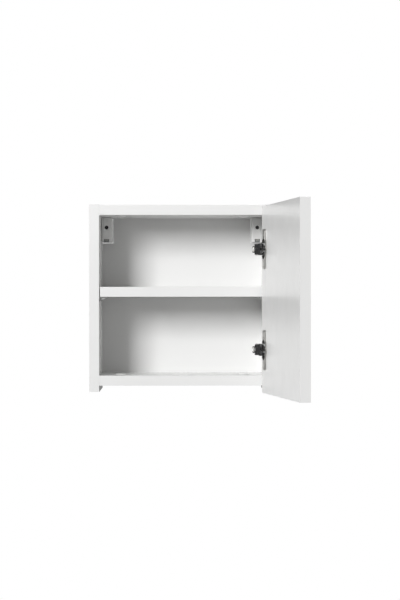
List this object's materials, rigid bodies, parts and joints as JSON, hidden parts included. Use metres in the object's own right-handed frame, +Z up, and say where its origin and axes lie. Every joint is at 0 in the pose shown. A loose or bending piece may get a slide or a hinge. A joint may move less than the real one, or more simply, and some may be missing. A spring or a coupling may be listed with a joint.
{
  "type": "hanging wall cabinet",
  "caption": "Small square wall cabinet with one hinged door, a shelf, soft-close cup hinges and adjustable hangers for a wall rail.",
  "frame": {"origin": "on the wall plane, midway between the side panels, at their lower ends", "axes": "+Z up, +Y into the wall, +X to the right as seen from the room; the door is hinged on the +X side and opens towards -Y"},
  "size_m": [0.3329, 0.4522, 0.301],
  "materials": {
    "white_board": "16 mm chipboard faced with smooth satin white melamine",
    "white_edge_band": "smooth satin white edge banding, edges slightly rounded",
    "white_hardboard": "thin white lacquered hardboard, satin",
    "nickel_steel": "pressed steel, bright nickel plated",
    "steel_fixings": "zinc plated steel screws and pins",
    "dark_steel": "pressed steel, blackened",
    "black_plastic": "moulded black plastic, fine satin texture",
    "white_plastic": "moulded white plastic, semi-gloss",
    "zinc_plated_steel": "bent sheet steel, zinc plated",
    "support_metal": "nickel plated die-cast shelf supports",
    "cast_zinc": "die-cast zinc, dull",
    "beech": "raw beech"
  },
  "bodies": {
    "carcass": {"arm_depth_screws": "steel_fixings", "arm_pins": "steel_fixings", "back_panel": "white_hardboard", "bottom_edge_band": "white_edge_band", "bottom_panel": "white_board", "cam_bolts": "steel_fixings", "cam_cover_caps": "white_plastic", "cam_discs": "cast_zinc", "left_hanger_housing": "white_plastic", "left_side_edge_band": "white_edge_band", "left_side_panel": "white_board", "lower_hinge_arm": "nickel_steel", "lower_mounting_plate": "nickel_steel", "mounting_plate_screws": "steel_fixings", "overlay_screws": "steel_fixings", "right_hanger_housing": "white_plastic", "right_side_edge_band": "white_edge_band", "right_side_panel": "white_board", "shelf": "white_board", "shelf_edge_band": "white_edge_band", "shelf_supports": "support_metal", "top_edge_band": "white_edge_band", "top_panel": "white_board", "upper_hinge_arm": "nickel_steel", "upper_mounting_plate": "nickel_steel", "wooden_dowels": "beech"},
    "door": {"door_panel": "white_board", "door_edge_bands": "white_edge_band", "upper_hinge_cup": "nickel_steel", "lower_hinge_cup": "nickel_steel", "hinge_cup_screws": "steel_fixings"},
    "outer_links": {"upper_outer_link": "dark_steel", "lower_outer_link": "dark_steel", "upper_damper": "black_plastic", "lower_damper": "black_plastic", "outer_link_pins": "steel_fixings"},
    "inner_links": {"upper_inner_link": "dark_steel", "lower_inner_link": "dark_steel", "inner_link_pins": "steel_fixings"},
    "left_carriage": {"left_hanger_carriage": "zinc_plated_steel"},
    "left_hook": {"left_hanger_hook": "zinc_plated_steel"},
    "left_height_screw": {"left_height_screw": "dark_steel"},
    "left_depth_screw": {"left_depth_screw": "steel_fixings"},
    "right_carriage": {"right_hanger_carriage": "zinc_plated_steel"},
    "right_hook": {"right_hanger_hook": "zinc_plated_steel"},
    "right_height_screw": {"right_height_screw": "dark_steel"},
    "right_depth_screw": {"right_depth_screw": "steel_fixings"}
  },
  "joints": [
    {"name": "door_opening", "type": "hinge", "parent": "carcass", "child": "door", "pos_m": [0.141, -0.1652, 0.1475], "axis": [0, 0, 1], "range_deg": [-98, 0]},
    {"name": "outer_link_turn", "type": "hinge", "parent": "carcass", "child": "outer_links", "pos_m": [0.11422, -0.15704, 0.1475], "axis": [0, 0, 1], "range_deg": [0, 50]},
    {"name": "inner_link_turn", "type": "hinge", "parent": "carcass", "child": "inner_links", "pos_m": [0.11939, -0.15476, 0.1475], "axis": [0, 0, 1], "range_deg": [0, 45]},
    {"name": "left_hook_height", "type": "slide", "parent": "carcass", "child": "left_carriage", "axis": [0, 0, 1], "range_m": [-0.005, 0.005]},
    {"name": "left_hook_depth", "type": "slide", "parent": "left_carriage", "child": "left_hook", "axis": [0, 1, 0], "range_m": [-0.008, 0]},
    {"name": "left_height_screw_turn", "type": "hinge", "parent": "carcass", "child": "left_height_screw", "pos_m": [-0.1246, -0.047, 0.2666], "axis": [0, 1, 0], "range_deg": [-180, 180]},
    {"name": "left_depth_screw_turn", "type": "hinge", "parent": "left_carriage", "child": "left_depth_screw", "pos_m": [-0.1246, -0.045, 0.2466], "axis": [0, 1, 0], "range_deg": [0, 1440]},
    {"name": "right_hook_height", "type": "slide", "parent": "carcass", "child": "right_carriage", "axis": [0, 0, 1], "range_m": [-0.005, 0.005]},
    {"name": "right_hook_depth", "type": "slide", "parent": "right_carriage", "child": "right_hook", "axis": [0, 1, 0], "range_m": [-0.008, 0]},
    {"name": "right_height_screw_turn", "type": "hinge", "parent": "carcass", "child": "right_height_screw", "pos_m": [0.1246, -0.047, 0.2666], "axis": [0, 1, 0], "range_deg": [-180, 180]},
    {"name": "right_depth_screw_turn", "type": "hinge", "parent": "right_carriage", "child": "right_depth_screw", "pos_m": [0.1246, -0.045, 0.2466], "axis": [0, 1, 0], "range_deg": [0, 1440]}
  ],
  "couplings": [
    {"joint": "outer_link_turn", "follows": "door_opening", "ratio": -0.50792},
    {"joint": "inner_link_turn", "follows": "door_opening", "ratio": -0.45042},
    {"joint": "left_height_screw_turn", "follows": "left_hook_height", "rad_per_m": 628},
    {"joint": "left_depth_screw_turn", "follows": "left_hook_depth", "rad_per_m": -3141},
    {"joint": "right_height_screw_turn", "follows": "right_hook_height", "rad_per_m": 628},
    {"joint": "right_depth_screw_turn", "follows": "right_hook_depth", "rad_per_m": -3141}
  ]
}
